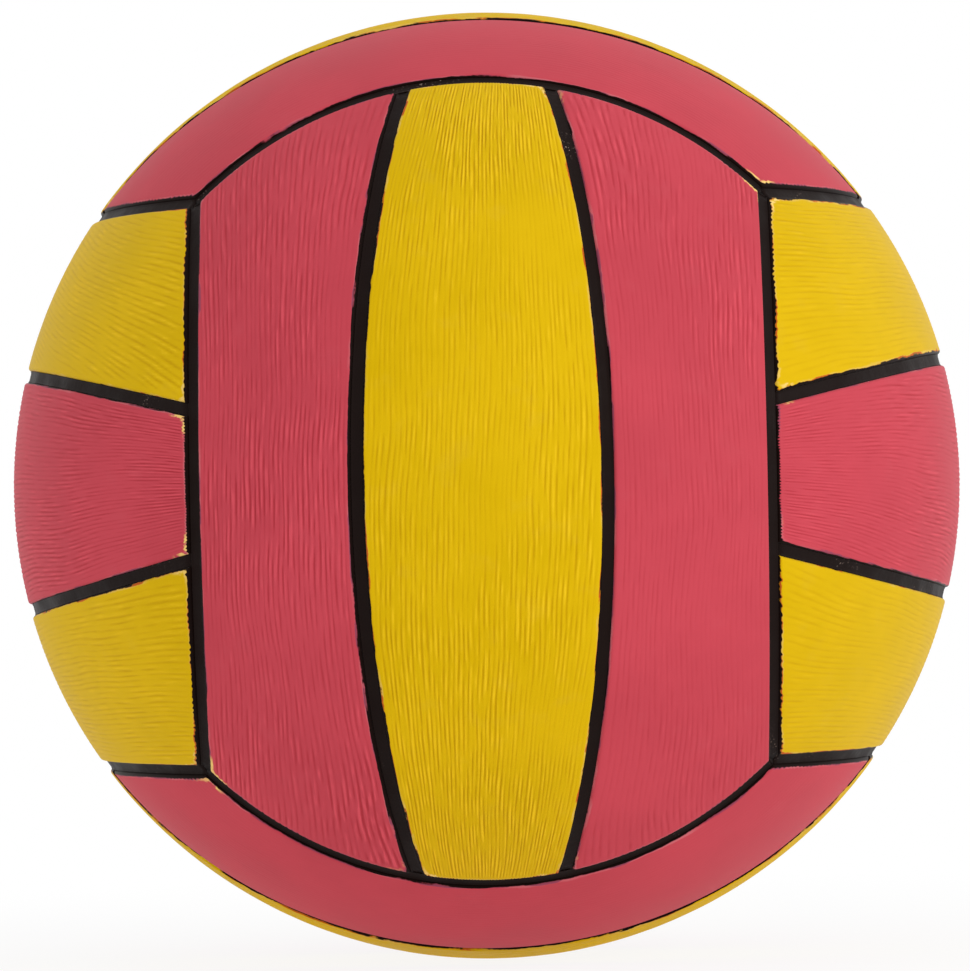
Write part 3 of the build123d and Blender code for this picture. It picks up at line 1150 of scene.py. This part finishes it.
class POLO_OT_cover_panels(bpy.types.Operator):
    """Make the eighteen ridged grip panels"""

    bl_idname = "polo_ball.cover_panels"
    bl_label = "Cover Panels"

    def execute(self, context):
        cover = context.scene.polo_cover
        grip = context.scene.polo_grip
        paint = context.scene.polo_paint
        tree = grip_ridge_tree()
        rubber = {
            "cover_yellow": panel_rubber(
                "Yellow grip rubber", paint.yellow, paint.yellow_fringe, YELLOW_UNSTEADINESS, paint
            ),
            "cover_coral": panel_rubber(
                "Coral grip rubber", paint.coral, paint.coral_fringe, CORAL_UNSTEADINESS, paint
            ),
        }
        values = {name: getattr(grip, name.lower().replace(" ", "_")) for name in RIDGE_SIZES}
        seed = grip.seed
        for face, sides, turn in FACES:
            for place, place_name in ((0, "middle"), (-1, sides[0]), (1, sides[1])):
                node = f"panel_{face}_{place_name}"
                laps = np.multiply(PAINT_LAPS.get(node, LAPS_ELSEWHERE), paint.lap)
                # Ridge shares from wear and from painted light on the ridges.
                left = LEFT_BY_WEAR_AND_LIGHT.get(node, LEFT_ELSEWHERE)
                mesh = panel_mesh(cover, f"grip_{node}", place, turn, laps, node == "panel_back_middle")
                piece = link_piece(mesh)
                seed += 1
                run_tree(piece, tree, {
                    **values,
                    **dict(zip(LEFT_PLACES, left)),
                    "Lean": RIDGE_LEANS.get(node, 0.0),
                    "Seed": float(seed),
                    "Material": rubber[slot_of_node[node]],
                })
                stand_for(piece, node)
        return {"FINISHED"}


class POLO_OT_channel_strips(bpy.types.Operator):
    """Make the black strips in the channels between the panels"""

    bl_idname = "polo_ball.channel_strips"
    bl_label = "Channel Strips"

    def execute(self, context):
        cover = context.scene.polo_cover
        material = strip_rubber("Glossy black strip", context.scene.polo_paint)
        for face, sides, turn in FACES:
            for side, side_name in zip((-1, 1), sides):
                for kind, line in (("face_seam", face_seam_line), ("edge_seam", edge_seam_line)):
                    node = f"{kind}_{face}_{side_name}"
                    mesh = strip_mesh(cover, f"painted_{node}", *line(cover, side), turn)
                    mesh.materials.append(material)
                    stand_for(link_piece(mesh), node)
        return {"FINISHED"}


class POLO_OT_valve_finish(bpy.types.Operator):
    """Give the valve's housing and plug their rubber"""

    bl_idname = "polo_ball.valve_finish"
    bl_label = "Valve Finish"

    def execute(self, context):
        for node in ("valve_housing", "valve_plug"):
            finish_node(node, plain_rubber(*PLAIN_RUBBERS[node]))
        return {"FINISHED"}


class POLO_OT_inner_layers(bpy.types.Operator):
    """Give the carcass, thread winding and bladder their finishes"""

    bl_idname = "polo_ball.inner_layers"
    bl_label = "Inner Layers"

    def execute(self, context):
        for node in ("carcass", "bladder"):
            finish_node(node, plain_rubber(*PLAIN_RUBBERS[node]))
        finish_node("thread_winding", wound_thread("Wound thread"))
        return {"FINISHED"}


class POLO_OT_stage(bpy.types.Operator):
    """Set up the floor, the soft light and the camera"""

    bl_idname = "polo_ball.stage"
    bl_label = "Stage"

    def execute(self, context):
        stage = context.scene.polo_stage
        make_floor(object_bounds()[0][2], stage.floor_size)
        make_light(context.scene, stage)
        make_camera(context.scene, stage)
        context.scene.view_settings.view_transform = "Standard"
        return {"FINISHED"}


class POLO_PT_sidebar(bpy.types.Panel):
    """The ball's sizes and colours, and the operators that make it"""

    bl_idname = "POLO_PT_sidebar"
    bl_label = "Water Polo Ball"
    bl_space_type = "VIEW_3D"
    bl_region_type = "UI"
    bl_category = "Water Polo Ball"

    def draw(self, context):
        for name in SETTINGS:
            settings = getattr(context.scene, name)
            box = self.layout.box()
            for key in settings.__annotations__:
                box.prop(settings, key)
        for operator in OPERATORS:
            self.layout.operator(operator.bl_idname)


SETTINGS = {
    "polo_cover": CoverSizes,
    "polo_grip": GripSizes,
    "polo_paint": PaintFinish,
    "polo_stage": StageSetup,
}
OPERATORS = (
    POLO_OT_cover_panels,
    POLO_OT_channel_strips,
    POLO_OT_valve_finish,
    POLO_OT_inner_layers,
    POLO_OT_stage,
)


def register():
    """Makes the settings, the operators and the sidebar known to Blender."""
    for group in (*SETTINGS.values(), *OPERATORS, POLO_PT_sidebar):
        bpy.utils.register_class(group)
    for name, group in SETTINGS.items():
        setattr(bpy.types.Scene, name, PointerProperty(type=group))


def unregister():
    """Takes them out again in the opposite order."""
    for name in SETTINGS:
        delattr(bpy.types.Scene, name)
    for group in reversed((*SETTINGS.values(), *OPERATORS, POLO_PT_sidebar)):
        bpy.utils.unregister_class(group)


def main():
    """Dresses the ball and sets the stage."""
    register()
    bpy.ops.polo_ball.cover_panels()
    bpy.ops.polo_ball.channel_strips()
    bpy.ops.polo_ball.valve_finish()
    bpy.ops.polo_ball.inner_layers()
    bpy.ops.polo_ball.stage()


if __name__ == "__main__":
    main()
